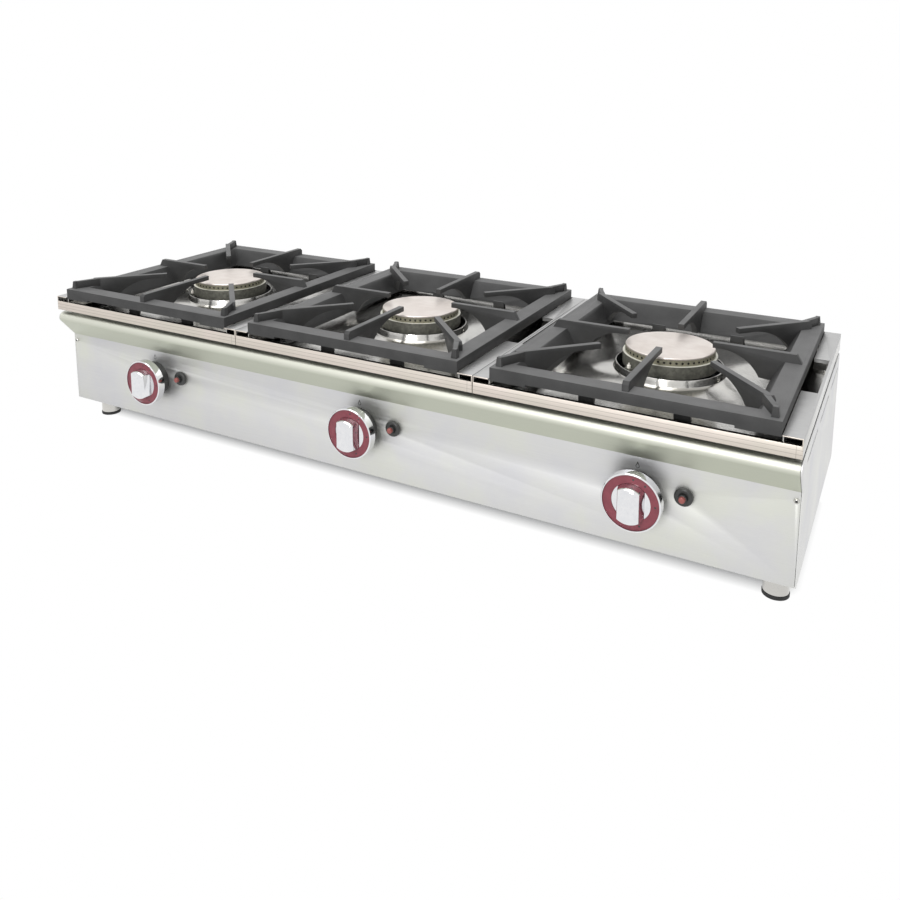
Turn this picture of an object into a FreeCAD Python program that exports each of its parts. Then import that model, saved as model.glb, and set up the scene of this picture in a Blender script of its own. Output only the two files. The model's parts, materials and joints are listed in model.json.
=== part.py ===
import FreeCAD
import Part
import Sketcher
import math
import os
from FreeCAD import Placement, Rotation, Vector

# A countertop gas range with three open burners side by side.
# X runs along the front, +Y to the back and +Z up. The origin is on the worktop under the middle
# of the whole range. Heights of the body are counted from its lower edge, on top of the feet.

doc = FreeCAD.newDocument("gas_range")
sheet = doc.addObject("Spreadsheet::Sheet", "Dims")


class Size:
    """A number together with the sheet expression that gives it."""

    def __init__(self, value, text):
        self.value = value
        self.text = text

    def __add__(self, other):
        other = as_size(other)
        return Size(self.value + other.value, f"({self.text} + {other.text})")

    def __sub__(self, other):
        other = as_size(other)
        return Size(self.value - other.value, f"({self.text} - {other.text})")

    def __mul__(self, other):
        other = as_size(other)
        return Size(self.value * other.value, f"({self.text} * {other.text})")

    def __truediv__(self, other):
        other = as_size(other)
        return Size(self.value / other.value, f"({self.text} / {other.text})")

    def __neg__(self):
        return Size(-self.value, f"(0 - {self.text})")

    __radd__ = __add__
    __rmul__ = __mul__

    def __rsub__(self, other):
        return as_size(other) - self


def as_size(value):
    return value if isinstance(value, Size) else Size(float(value), repr(float(value)))


def root(size):
    return Size(math.sqrt(size.value), f"sqrt({size.text})")


def angle_of(up, across):
    """Angle in degrees of a slope from its rise and its run."""
    angle = math.degrees(math.atan(up.value / across.value))
    return Size(angle, f"(atan({up.text} / {across.text}) / 1 deg)")


def cell(name, value):
    """Put one driving dimension in the sheet and give it back as a Size."""
    row = cell.row
    cell.row += 1
    sheet.set(f"A{row}", name)
    sheet.set(f"B{row}", str(value))
    sheet.setAlias(f"B{row}", name)
    return Size(float(value), f"Dims.{name}")


cell.row = 1

# Whole range
pitch = cell("module_pitch", 400)
depth = cell("tray_depth", 427)
sheet_wall = cell("body_sheet", 1.5)
seam = cell("panel_seam", 0.4)
fit = cell("running_clearance", 0.08)
loose = cell("loose_clearance", 0.3)

# Feet
foot_height = cell("foot_height", 40)
foot_radius = cell("foot_radius", 15.5)
foot_side = cell("foot_from_side", 26.5)
foot_front = cell("foot_from_front", 76)
foot_rear = cell("foot_from_rear", 46)
foot_stud = cell("foot_stud_radius", 4)
foot_stud_reach = cell("foot_stud_reach", 8)
pad_radius = cell("pad_radius", 16.2)
pad_height = cell("pad_height", 5)
pad_plug = cell("pad_plug_radius", 11)
pad_plug_height = cell("pad_plug_height", 6)

# Body shell
body_height = cell("body_height", 163)
rear_step = cell("tray_over_back", 3)
panel_setback = cell("panel_setback", 29.5)
crease = cell("crease_height", 117.4)
nose_radius = cell("nose_radius", 9)
nose_setback = cell("nose_setback", 1)
nose_height = cell("nose_height", 153.3)
nose_return = cell("nose_return", 12)
panel_return = cell("panel_return", 14)
base_flange = cell("base_flange", 18)
side_flange = cell("side_flange", 16)
side_flange_margin = cell("side_flange_margin", 6)
slot_count = 3
slot_height = cell("slot_height", 4)
slot_length = cell("slot_length", 105)
slot_pitch = cell("slot_pitch", 128)
slot_level = cell("slot_level", 142)
slot_start = cell("slot_start", 53)
screw_side = cell("screw_from_side", 6)
screw_level = cell("screw_level", 106)
screw_radius = cell("screw_radius", 1.9)
screw_head = cell("screw_head_radius", 3.2)
screw_head_height = cell("screw_head_height", 1.9)
screw_head_edge = cell("screw_head_edge", 0.7)
screw_length = cell("screw_length", 9)
rail_gap = cell("rail_gap", 3)
rail_width = cell("rail_width", 26)
rail_height = cell("rail_height", 34)
rail_shoulder = cell("rail_shoulder", 4)

# Top trays
tray_gap = cell("tray_gap", 1)
tray_wall = cell("tray_sheet", 1.2)
tray_floor = cell("tray_floor", 171)
band_bottom = cell("band_bottom", 168.5)
band_height = cell("band_height", 15.1)
lip_depth = cell("lip_depth", 6)
flange_width = cell("flange_width", 22)
flange_top = cell("flange_top", 192.1)
notch_start = cell("notch_start", 152)
notch_length = cell("notch_length", 138)
notch_rim = cell("notch_rim", 2.6)
notch_sill = cell("notch_sill", 5)
collar_radius = cell("collar_radius", 73.5)
collar_flare = cell("collar_flare", 3)
collar_height = cell("collar_height", 9)

# Pan supports
support_clearance = cell("support_clearance", 0.75)
support_front = cell("support_from_front", 2)
support_rear = cell("support_from_rear", 6.5)
support_bottom = cell("support_bottom", 192.1)
support_top = cell("support_top", 206.7)
support_wall = cell("support_wall", 7)
rim_width = cell("rim_width", 26)
rim_round = cell("rim_round", 4)
skirt_inset = cell("skirt_inset", 44)
skirt_level = cell("skirt_level", 177)
toe_width = cell("toe_width", 20)
toe_spread = cell("toe_spread", 60)
corner_length = cell("corner_length", 50)
corner_drop = cell("corner_drop", 3)
finger_rise = cell("finger_rise", 12.3)
finger_thick = cell("finger_thickness", 8.5)
finger_tip_height = cell("finger_tip_height", 7.5)
finger_flat = cell("finger_tip_flat", 16)
finger_heel = cell("finger_heel", 14)
finger_arch = cell("finger_arch_depth", 0.9)
finger_chamfer = cell("finger_chamfer", 4)
side_tip = cell("side_finger_tip_radius", 58)
side_end = cell("side_finger_margin", 5.5)
side_slope = cell("side_finger_end_slope", 7)
row_end = cell("row_finger_margin", 3)
corner_azimuth = cell("corner_finger_azimuth", 46.8)
corner_tip = cell("corner_finger_tip_radius", 109)
corner_reach = cell("corner_finger_reach", 234)
post_side = cell("corner_post_from_side", 9.25)
post_end = cell("corner_post_from_end", 11.75)
post_foot = cell("corner_post_foot", 9)
post_tip = cell("corner_post_tip", 6)

# Burners
ring_radius = cell("burner_ring_radius", 64)
ring_low = cell("burner_ring_bottom", 178)
ring_width = cell("burner_ring_width", 5)
head_radius = cell("burner_head_radius", 60.8)
head_low = cell("burner_head_bottom", 195)
head_wall = cell("burner_head_wall", 3)
cap_radius = cell("burner_cap_radius", 60.3)
cap_top = cell("burner_cap_top", 205.4)
cap_thick = cell("burner_cap_thickness", 2.6)
cap_bevel = cell("burner_cap_bevel", 0.8)
cap_locator = cell("cap_locator_height", 4)
port_radius = cell("flame_port_radius", 1.1)
port_count = 48
burner_wall = cell("burner_wall", 3)
throat_radius = cell("throat_radius", 20)
throat_low = cell("throat_bottom", 122)
flare_low = cell("flare_bottom", 155)
mixer_radius = cell("mixer_radius", 13)
mixer_level = cell("mixer_level", 138)
mixer_front = cell("mixer_from_front", 146)
stand_margin = cell("stand_margin", 6)
stand_foot = cell("stand_foot", 12)
electrode_radius = cell("electrode_radius", 2.6)
electrode_place = cell("electrode_from_axis", 67.4)
electrode_top = cell("electrode_top", 188)
electrode_low = cell("electrode_bottom", 156)
electrode_wire = cell("electrode_wire_radius", 0.9)
electrode_bare = cell("electrode_bare_length", 3)
electrode_collar = cell("electrode_collar_radius", 4)
electrode_azimuth = cell("electrode_azimuth", 232)
ear_width = cell("ear_width", 10)
ear_height = cell("ear_height", 3)
ear_edge = cell("ear_edge", 1)

# Controls
knob_pitch = cell("knob_pitch", 408)
knob_shift = cell("knob_row_shift", 5.5)
knob_level = cell("knob_level", 71)
knob_radius = cell("knob_radius", 37)
knob_depth = cell("knob_depth", 12.5)
knob_front = cell("knob_face_from_panel", 31)
knob_wall = cell("knob_wall", 2.5)
knob_bevel = cell("knob_bevel", 0.8)
boss_radius = cell("knob_boss_radius", 9)
boss_low = cell("knob_boss_from_panel", 12)
base_radius = cell("knob_base_radius", 28)
base_wall = cell("knob_base_wall", 3)
push_travel = cell("knob_push_travel", 3)
push_margin = cell("knob_push_margin", 0.5)
ring_outer = cell("red_ring_outer", 35)
ring_inner = cell("red_ring_inner", 24.2)
ring_thick = cell("red_ring_thickness", 1)
ring_gap = cell("red_ring_clearance", 0.2)
face_sink = cell("knob_face_sink", 1.5)
grip_foot = cell("grip_foot_width", 33.2)
grip_width = cell("grip_face_width", 25.6)
grip_radius = cell("grip_radius", 24)
grip_draft = cell("grip_end_draft", 1)
grip_rise = cell("grip_rise", 13)
grip_round = cell("grip_round", 5)
stem_radius = cell("stem_radius", 4)
stem_gap = cell("stem_clearance", 6)
stem_cover = cell("stem_cover", 4.5)
stem_socket = cell("stem_socket", 13)
plug_radius = cell("plug_radius", 8)
plug_end_gap = cell("plug_end_gap", 6)
plug_port = cell("plug_port_radius", 3)
tap_half = cell("tap_half_width", 13)
tap_front = cell("tap_behind_panel", 8)
tap_depth = cell("tap_depth", 40)
tap_wall = cell("tap_wall", 4)
button_shift = cell("igniter_from_knob", 56)
button_lift = cell("igniter_above_knob", 9)
bezel_radius = cell("igniter_bezel_radius", 11.3)
bezel_thick = cell("igniter_bezel_thickness", 5)
bezel_bevel = cell("igniter_bezel_bevel", 1.2)
barrel_radius = cell("igniter_barrel_radius", 7.5)
barrel_depth = cell("igniter_barrel_depth", 32)
barrel_end = cell("igniter_barrel_end", 6)
button_radius = cell("igniter_button_radius", 5.2)
button_shoulder = cell("igniter_button_shoulder", 9)
button_tip = cell("igniter_button_tip_radius", 3.9)
button_bevel = cell("igniter_button_bevel", 0.8)
button_reach = cell("igniter_button_reach", 13)
button_tail = cell("igniter_button_tail", 14)

# Gas pipes
manifold_radius = cell("manifold_radius", 11)
manifold_wall = cell("manifold_wall", 2)
manifold_drop = cell("manifold_below_knob", 34)
manifold_back = cell("manifold_behind_panel", 30)
manifold_margin = cell("manifold_end_margin", 60)
manifold_cap = cell("manifold_cap_thickness", 3)
spigot_radius = cell("manifold_spigot_radius", 7)
spigot_bore = cell("manifold_spigot_bore", 4)
saddle_spread = cell("saddle_spread", 200)
saddle_width = cell("saddle_width", 24)
saddle_thick = cell("saddle_thickness", 3)
pipe_radius = cell("supply_pipe_radius", 4)
pipe_wall = cell("supply_pipe_wall", 1)
pipe_bend = cell("supply_pipe_bend", 14)
pipe_run = cell("supply_pipe_run", 8)
union_radius = cell("union_radius", 11)
union_length = cell("union_length", 6)
jet_radius = cell("injector_radius", 7)
jet_nose = cell("injector_nose_radius", 3)
jet_bore = cell("injector_bore_radius", 0.8)
jet_length = cell("injector_length", 12)
jet_taper = cell("injector_taper", 4)
jet_air = cell("injector_air_gap", 6)
inlet_radius = cell("inlet_thread_radius", 10.45)
inlet_out = cell("inlet_reach", 25)
inlet_wall = cell("inlet_wall", 2.5)
inlet_run = cell("inlet_run", 10)
inlet_bend = cell("inlet_bend", 25)
inlet_clear = cell("inlet_hole_clearance", 2)
inlet_collar = cell("inlet_collar_radius", 16)
inlet_collar_length = cell("inlet_collar_length", 5)

# Places worked out from the sizes above
modules = (1, 2, 3)
half_width = pitch * 1.5
grip_front = knob_front + grip_rise - panel_setback
rear_reach = depth - rear_step + inlet_out
front_y = (grip_front - rear_reach) / 2
panel_y = front_y + panel_setback
back_y = front_y + depth - rear_step
centre_y = front_y + (support_front + depth - support_rear) / 2
tray_half = (pitch - tray_gap) / 2
tray_inner = tray_half - flange_width
tray_under = tray_floor - tray_wall
support_half = tray_inner - support_clearance
support_half_depth = (depth - support_front - support_rear) / 2
support_shelf = support_top - support_wall
finger_top = support_top + finger_rise
cap_low = cap_top - cap_thick
knob_z = foot_height + knob_level
knob_face = knob_front - face_sink - ring_thick
knob_roof = knob_face - knob_wall
stem_top = knob_face - stem_cover
tap_rear = tap_front + tap_depth
plug_front = -(tap_front + tap_wall + fit)
stem_low = plug_front - stem_socket + push_travel + push_margin
manifold_level = knob_level - manifold_drop
manifold_half = half_width - manifold_margin
inlet_x = manifold_half + inlet_run + inlet_bend


def module_x(number):
    return pitch * (number - 2)


def knob_x(number):
    return knob_shift + knob_pitch * (number - 2)


# Ways of drawing and building


def bind(item, prop, size):
    item.setExpression(prop, as_size(size).text)


def place(item, x, y, z):
    bind(item, "Placement.Base.x", x)
    bind(item, "Placement.Base.y", y)
    bind(item, "Placement.Base.z", z)


def new_body(label, x=0, y=0, z=0, forward=False):
    """A body at a point; a forward body has its own Z along the range's -Y."""
    body = doc.addObject("PartDesign::Body", label)
    body.Label = label
    if forward:
        body.Placement = Placement(Vector(), Rotation(Vector(1, 0, 0), 90))
    place(body, x, y, z)
    return body


def turn(item, prop, axis, angle):
    """Turn a body or a sketch about an axis of its own by an angle in degrees."""
    angle = as_size(angle)
    setattr(item, prop, Placement(Vector(), Rotation(axis, angle.value)))
    bind(item, f"{prop}.Rotation.Angle", angle)


def origin_item(body, role):
    return [item for item in body.Origin.OriginFeatures if item.Role == role][0]


def new_sketch(body, name, role="XY_Plane", offset=0):
    sketch = body.newObject("Sketcher::SketchObject", f"{body.Name}_{name}")
    sketch.AttachmentSupport = (origin_item(body, role), [""])
    sketch.MapMode = "FlatFace"
    bind(sketch, "AttachmentOffset.Base.z", offset)
    return sketch


def pin_one(sketch, geo, end, kind, size):
    size = as_size(size)
    index = sketch.addConstraint(Sketcher.Constraint(kind, -1, 1, geo, end, size.value))
    sketch.setExpression(f"Constraints[{index}]", size.text)


def pin_point(sketch, geo, end, across, up):
    """Hold one point of a sketch at two sizes from its origin."""
    pin_one(sketch, geo, end, "DistanceX", across)
    pin_one(sketch, geo, end, "DistanceY", up)


def spot(across, up):
    return Vector(as_size(across).value, as_size(up).value, 0)


def draw_leg(sketch, point, start, finish):
    """One leg of an outline, with its two ends' numbers in the order of travel."""
    if len(point) == 2:
        return sketch.addGeometry(Part.LineSegment(start, finish)), 1, 2
    middle = spot(point[2], point[3])
    left = point[4] == "left"
    first, last = (start - middle, finish - middle) if left else (finish - middle, start - middle)
    ring = Part.Circle(middle, Vector(0, 0, 1), first.Length)
    arc = Part.ArcOfCircle(ring, math.atan2(first.y, first.x), math.atan2(last.y, last.x))
    return sketch.addGeometry(arc), (1 if left else 2), (2 if left else 1)


def outline(sketch, points, closed=True):
    """An outline through points given as sizes.

    A point is (across, up) where a straight line leaves it. Where an arc leaves it, the arc's
    middle and its turn follow: (across, up, middle across, middle up, "left" or "right").
    """
    spots = [spot(point[0], point[1]) for point in points]
    starts = points if closed else points[:-1]
    ends = points[1:] + points[:1]
    legs = [draw_leg(sketch, *leg) for leg in zip(starts, spots, spots[1:] + spots[:1])]
    pairs = list(zip(legs, legs[1:]))
    if closed:
        pairs.append((legs[-1], legs[0]))
    for first, second in pairs:
        sketch.addConstraint(Sketcher.Constraint("Coincident", first[0], first[2], second[0], second[1]))
    for place_in_row, (point, finish, leg) in enumerate(zip(starts, ends, legs)):
        opens = place_in_row == 0 and not closed
        if opens or len(starts[place_in_row - 1]) == 2:
            pin_point(sketch, leg[0], leg[1], point[0], point[1])
        if len(point) == 2:
            continue
        pin_point(sketch, leg[0], 3, point[2], point[3])
        arm = spot(finish[0], finish[1]) - spot(point[2], point[3])
        level = abs(arm.y) > abs(arm.x)
        pin_one(sketch, leg[0], leg[2], "DistanceX" if level else "DistanceY", finish[0 if level else 1])
    if not closed and len(starts[-1]) == 2:
        pin_point(sketch, legs[-1][0], legs[-1][2], points[-1][0], points[-1][1])


def rectangle(sketch, x, y):
    outline(sketch, [(x[0], y[0]), (x[1], y[0]), (x[1], y[1]), (x[0], y[1])])


def circle(sketch, radius, x=0, y=0):
    radius = as_size(radius)
    ring = sketch.addGeometry(Part.Circle(spot(x, y), Vector(0, 0, 1), radius.value))
    index = sketch.addConstraint(Sketcher.Constraint("Radius", ring, radius.value))
    sketch.setExpression(f"Constraints[{index}]", radius.text)
    pin_point(sketch, ring, 3, x, y)


def add_pad(body, name, sketch, length, middle=False):
    pad = body.newObject("PartDesign::Pad", f"{body.Name}_{name}_pad")
    pad.Profile = sketch
    bind(pad, "Length", length)
    pad.Midplane = middle
    body.Tip = pad
    return pad


def add_pocket(body, name, sketch, length, middle=False):
    pocket = body.newObject("PartDesign::Pocket", f"{body.Name}_{name}_pocket")
    pocket.Profile = sketch
    bind(pocket, "Length", length)
    pocket.Midplane = middle
    body.Tip = pocket
    return pocket


def box(body, name, x, y, z):
    sketch = new_sketch(body, name, offset=z[0])
    rectangle(sketch, x, y)
    return add_pad(body, name, sketch, as_size(z[1]) - z[0])


def box_cut(body, name, x, y, z):
    sketch = new_sketch(body, name, offset=z[1])
    rectangle(sketch, x, y)
    return add_pocket(body, name, sketch, as_size(z[1]) - z[0])


def disc(body, name, radius, z, x=0, y=0, bore=None):
    sketch = new_sketch(body, name, offset=z[0])
    circle(sketch, radius, x, y)
    if bore is not None:
        circle(sketch, bore, x, y)
    return add_pad(body, name, sketch, as_size(z[1]) - z[0])


def disc_cut(body, name, radius, z, x=0, y=0):
    sketch = new_sketch(body, name, offset=z[1])
    circle(sketch, radius, x, y)
    return add_pocket(body, name, sketch, as_size(z[1]) - z[0])


def turned(body, name, points):
    """A solid turned about the body's Z from points given as radius and height."""
    sketch = new_sketch(body, name, "XZ_Plane")
    outline(sketch, points)
    lathe = body.newObject("PartDesign::Revolution", f"{body.Name}_{name}_turn")
    lathe.Profile = sketch
    lathe.ReferenceAxis = (sketch, ["V_Axis"])
    lathe.Angle = 360
    body.Tip = lathe
    return lathe


def piped(body, name, path, profile):
    pipe = body.newObject("PartDesign::AdditivePipe", f"{body.Name}_{name}")
    pipe.Profile = profile
    pipe.Spine = path
    body.Tip = pipe
    return pipe


def in_order(side, near, far):
    """A span from near to far on one side of the middle, low end first."""
    return (near, far) if side > 0 else (-far, -near)


def group(label, members):
    """Separate solids that share one node."""
    compound = doc.addObject("Part::Compound", label)
    compound.Label = label
    compound.Links = members
    return compound


# Body shell


def front_profile(offset):
    """Crease, nose touch point, nose middle and top of the front face, moved in by an offset."""
    across = nose_setback + nose_radius - panel_setback
    up = nose_height - crease
    reach_squared = across * across + up * up
    tangent = root(reach_squared - nose_radius * nose_radius)
    run = (across * tangent - up * nose_radius) / reach_squared
    climb = (across * nose_radius + up * tangent) / reach_squared
    nose_y = nose_setback + nose_radius
    share = (nose_radius - offset) / nose_radius
    touch_y = nose_y + (panel_setback + tangent * run - nose_y) * share
    touch_z = nose_height + (crease + tangent * climb - nose_height) * share
    corner = (panel_setback + offset, crease + (climb - 1) / run * offset)
    return corner, (touch_y, touch_z), (nose_y, nose_height), nose_height + nose_radius - offset


def make_control_panel():
    reach = half_width - sheet_wall - seam
    body = new_body("control_panel", -reach, front_y, foot_height)
    sketch = new_sketch(body, "profile", "YZ_Plane")
    corner, touch, nose, top = front_profile(as_size(0))
    in_corner, in_touch, _, in_top = front_profile(sheet_wall)
    back = nose[0] + nose_return
    foot_end = panel_setback + panel_return
    outline(sketch, [
        (panel_setback, 0),
        corner,
        (*touch, *nose, "right"),
        (nose[0], top),
        (back, top),
        (back, in_top),
        (nose[0], in_top, *nose, "left"),
        in_touch,
        in_corner,
        (panel_setback + sheet_wall, sheet_wall),
        (foot_end, sheet_wall),
        (foot_end, 0),
    ])
    add_pad(body, "profile", sketch, reach * 2)
    holes = new_sketch(body, "holes", "XZ_Plane", -panel_setback)
    for number in modules:
        across = knob_x(number) + reach
        circle(holes, stem_radius + stem_gap, across, knob_level)
        circle(holes, barrel_radius + loose, across + button_shift, knob_level + button_lift)
    for side in (-1, 1):
        circle(holes, screw_radius + loose, reach + (half_width - screw_side) * side, screw_level)
    add_pocket(body, "holes", holes, sheet_wall * 4, middle=True)


def make_side_panel(label, side):
    inner_face = half_width - sheet_wall if side > 0 else -half_width
    body = new_body(label, inner_face, front_y, foot_height)
    sketch = new_sketch(body, "profile", "YZ_Plane")
    corner, touch, nose, top = front_profile(as_size(0))
    rear = depth - rear_step
    outline(sketch, [
        (panel_setback, 0),
        corner,
        (*touch, *nose, "right"),
        (nose[0], top),
        (nose[0] + nose_return, body_height),
        (rear, body_height),
        (rear, 0),
    ])
    add_pad(body, "profile", sketch, sheet_wall)
    slots = new_sketch(body, "slots", "YZ_Plane", sheet_wall)
    for slot in range(slot_count):
        start = slot_start + slot_pitch * slot
        rectangle(slots, (start, start + slot_length), (slot_level, slot_level + slot_height))
    add_pocket(body, "slots", slots, sheet_wall * 2)
    flange = (-side_flange, 0) if side > 0 else (sheet_wall, sheet_wall + side_flange)
    near = panel_setback + sheet_wall
    level = (base_flange + side_flange_margin, crease - side_flange_margin)
    box(body, "flange", flange, (near, near + sheet_wall), level)
    hole = new_sketch(body, "screw_hole", "XZ_Plane", -near)
    circle(hole, screw_radius + loose, (half_width - screw_side) * side - inner_face, screw_level)
    add_pocket(body, "screw_hole", hole, sheet_wall * 2)


def make_base_panel():
    body = new_body("base_panel", 0, front_y, foot_height)
    x = half_width - sheet_wall
    y = (panel_setback + panel_return, depth - rear_step - sheet_wall)
    box(body, "plate", (-x, x), y, (0, sheet_wall))
    for side, name in ((-1, "left"), (1, "right")):
        box(body, f"{name}_flange", in_order(side, x - sheet_wall, x), y, (0, base_flange))
    holes = new_sketch(body, "stud_holes", offset=sheet_wall)
    for side in (-1, 1):
        for row in (foot_front, depth - rear_step - foot_rear):
            circle(holes, foot_stud + loose, (half_width - foot_side) * side, row)
    add_pocket(body, "stud_holes", holes, sheet_wall)


def make_back_panel():
    body = new_body("back_panel", 0, back_y - sheet_wall, foot_height)
    x = half_width - sheet_wall
    box(body, "plate", (-x, x), (0, sheet_wall), (0, body_height))
    hole = new_sketch(body, "inlet_hole", "XZ_Plane")
    circle(hole, inlet_radius + inlet_clear, inlet_x, manifold_level)
    add_pocket(body, "inlet_hole", hole, sheet_wall)


def make_rail(label, web, top):
    """A folded rail across the body, with a raised seat under each tray."""
    body = new_body(label, 0, front_y, foot_height)
    x = half_width - sheet_wall
    low = tray_under - rail_height
    shoulder = body_height - rail_shoulder
    box(body, "web", (-x, x), web, (low, shoulder))
    for number in modules:
        seat = (module_x(number) - tray_inner, module_x(number) + tray_inner)
        box(body, f"ridge_{number}", seat, web, (shoulder, tray_under))
        box(body, f"seat_{number}", seat, top, (tray_under - sheet_wall, tray_under))


def make_rails():
    near = panel_setback + sheet_wall * 2 + rail_gap
    far = depth - rear_step - sheet_wall - rail_gap
    make_rail("front_rail", (near, near + sheet_wall), (near, near + rail_width))
    make_rail("rear_rail", (far - sheet_wall, far), (far - rail_width, far))


def make_feet():
    places = []
    for name_x, x in (("left", foot_side - half_width), ("right", half_width - foot_side)):
        for name_y, y in (("front", front_y + foot_front), ("rear", back_y - foot_rear)):
            body = new_body(f"foot_{name_y}_{name_x}", x, y, 0)
            disc(body, "sleeve", foot_radius, (pad_height, foot_height))
            disc(body, "stud", foot_stud, (foot_height, foot_height + sheet_wall + foot_stud_reach))
            disc_cut(body, "socket", pad_plug + loose, (pad_height, pad_height + pad_plug_height + loose))
            places.append((x, y))
    pads = []
    for number, (x, y) in enumerate(places):
        pad = new_body(f"pad_{number}", x, y, 0)
        disc(pad, "sole", pad_radius, (0, pad_height))
        disc(pad, "plug", pad_plug, (pad_height, pad_height + pad_plug_height))
        pads.append(pad)
    group("foot_pads", pads)


def make_panel_screws():
    screws = []
    for number, side in enumerate((-1, 1)):
        x = (half_width - screw_side) * side
        body = new_body(f"screw_{number}", x, panel_y, foot_height + screw_level, forward=True)
        turned(body, "screw", [
            (0, -screw_length),
            (screw_radius, -screw_length),
            (screw_radius, 0),
            (screw_head, 0),
            (screw_head, screw_head_edge),
            (screw_radius, screw_head_height),
            (0, screw_head_height),
        ])
        screws.append(body)
    group("panel_screws", screws)


# Top trays


def make_tray(number):
    body = new_body(f"top_tray_{number}", module_x(number), centre_y, foot_height)
    wall = tray_wall
    band_top = band_bottom + band_height
    front = front_y - centre_y
    rear = front + depth
    lip = front + lip_depth
    across = (-tray_half, tray_half)
    well = (-tray_inner - wall, tray_inner + wall)
    box(body, "floor", well, (lip - wall, rear), (tray_under, tray_floor))
    box(body, "band", across, (front, front + wall), (band_bottom, band_top))
    box(body, "lip", across, (front, lip), (band_top - wall, band_top))
    box(body, "front_wall", across, (lip - wall, lip), (tray_under, band_top))
    box(body, "rear_wall", across, (rear - wall, rear), (band_bottom, flange_top))
    for side, name in ((-1, "left"), (1, "right")):
        inside = in_order(side, tray_inner, tray_inner + wall)
        outside = in_order(side, tray_half - wall, tray_half)
        top = in_order(side, tray_inner, tray_half)
        box(body, f"{name}_wall", inside, (lip - wall, rear), (tray_under, flange_top))
        box(body, f"{name}_skirt", outside, (front, rear), (band_bottom, flange_top))
        box(body, f"{name}_flange", top, (front, rear), (flange_top - wall, flange_top))
        make_notch(body, name, side, front + notch_start)
    disc_cut(body, "opening", collar_radius - wall, (tray_under, tray_floor))
    turned(body, "collar", [
        (collar_radius - wall, tray_under),
        (collar_radius + collar_flare, tray_under),
        (collar_radius + collar_flare, tray_floor),
        (collar_radius, tray_floor + collar_height),
        (collar_radius - wall, tray_floor + collar_height),
    ])


def make_notch(body, name, side, start):
    """A hand notch in the flange beside the pan support, with a floor and end walls."""
    wall = tray_wall
    sill = tray_floor + notch_sill
    end = start + notch_length
    pocket = in_order(side, tray_inner - wall, tray_half - notch_rim)
    shelf = in_order(side, tray_inner, tray_half)
    box_cut(body, f"{name}_notch", pocket, (start, end), (sill, flange_top + wall))
    box(body, f"{name}_notch_floor", shelf, (start - wall, end + wall), (sill - wall, sill))
    box(body, f"{name}_notch_front", shelf, (start - wall, start), (sill, flange_top))
    box(body, f"{name}_notch_rear", shelf, (end, end + wall), (sill, flange_top))


# Pan supports


def frame_rectangle(sketch, inset):
    """A rectangle as far inside the pan support's edge as the inset."""
    x = support_half - inset
    y = support_half_depth - inset
    rectangle(sketch, (-x, x), (-y, y))


def frame_loft(body, name, kind, steps):
    """A straight-sided loft through rectangles given as inset and level."""
    sketches = []
    for step, (inset, level) in enumerate(steps):
        sketch = new_sketch(body, f"{name}_{step}", offset=level)
        frame_rectangle(sketch, inset)
        sketches.append(sketch)
    loft = body.newObject(f"PartDesign::{kind}", f"{body.Name}_{name}")
    loft.Profile = sketches[0]
    loft.Sections = sketches[1:]
    loft.Ruled = True
    body.Tip = loft


def make_finger(body, name, azimuth, tip, end, foot, run, drop):
    """A blade from the frame towards the burner, with an arch under it and a sloped end."""
    sketch = new_sketch(body, name, "XZ_Plane")
    turn(sketch, "AttachmentOffset", Vector(0, 1, 0), azimuth)
    low = finger_top - finger_tip_height
    toe = (tip + finger_flat, low)
    heel = (foot - finger_heel, skirt_level + support_wall / 2)
    across = toe[0] - heel[0]
    up = toe[1] - heel[1]
    middle = ((toe[0] + heel[0]) / 2 - up * finger_arch, (toe[1] + heel[1]) / 2 + across * finger_arch)
    outline(sketch, [
        (tip, finger_top),
        (tip, low),
        (*toe, *middle, "right"),
        heel,
        (foot + support_wall / 2, skirt_level + support_wall / 4),
        (end - support_wall * 2, support_top - support_wall / 2),
        (end, support_top - support_wall / 2),
        (end, finger_top - drop),
        (end - run, finger_top),
    ])
    add_pad(body, name, sketch, finger_thick, middle=True)


def make_fingers(body):
    inner_x = support_half - skirt_inset
    inner_y = support_half_depth - skirt_inset
    for name, azimuth in (("right", 0), ("left", 180)):
        end = support_half - side_end
        make_finger(body, f"{name}_finger", azimuth, side_tip, end, inner_x, side_slope, finger_rise)
    for name, azimuth in (("rear", 90), ("front", 270)):
        end = support_half_depth - row_end
        make_finger(body, f"{name}_finger", azimuth, side_tip, end, inner_y, finger_chamfer, finger_chamfer)
    foot = root(inner_x * inner_x + inner_y * inner_y)
    corners = (
        ("rear_right", corner_azimuth),
        ("rear_left", 180 - corner_azimuth),
        ("front_left", 180 + corner_azimuth),
        ("front_right", 360 - corner_azimuth),
    )
    for name, azimuth in corners:
        make_finger(body, f"{name}_finger", azimuth, corner_tip, corner_reach, foot, finger_chamfer, finger_chamfer)


def make_post(body, name, x, y):
    """A tapered stud on a corner of the frame, level with the fingers."""
    sketches = []
    for step, (width, level) in enumerate(((post_foot, support_top - post_foot / 4), (post_tip, finger_top))):
        sketch = new_sketch(body, f"{name}_{step}", offset=level)
        half = width / 2
        rectangle(sketch, (x - half, x + half), (y - half, y + half))
        sketches.append(sketch)
    loft = body.newObject("PartDesign::AdditiveLoft", f"{body.Name}_{name}")
    loft.Profile = sketches[0]
    loft.Sections = sketches[1:]
    loft.Ruled = True
    body.Tip = loft


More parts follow.
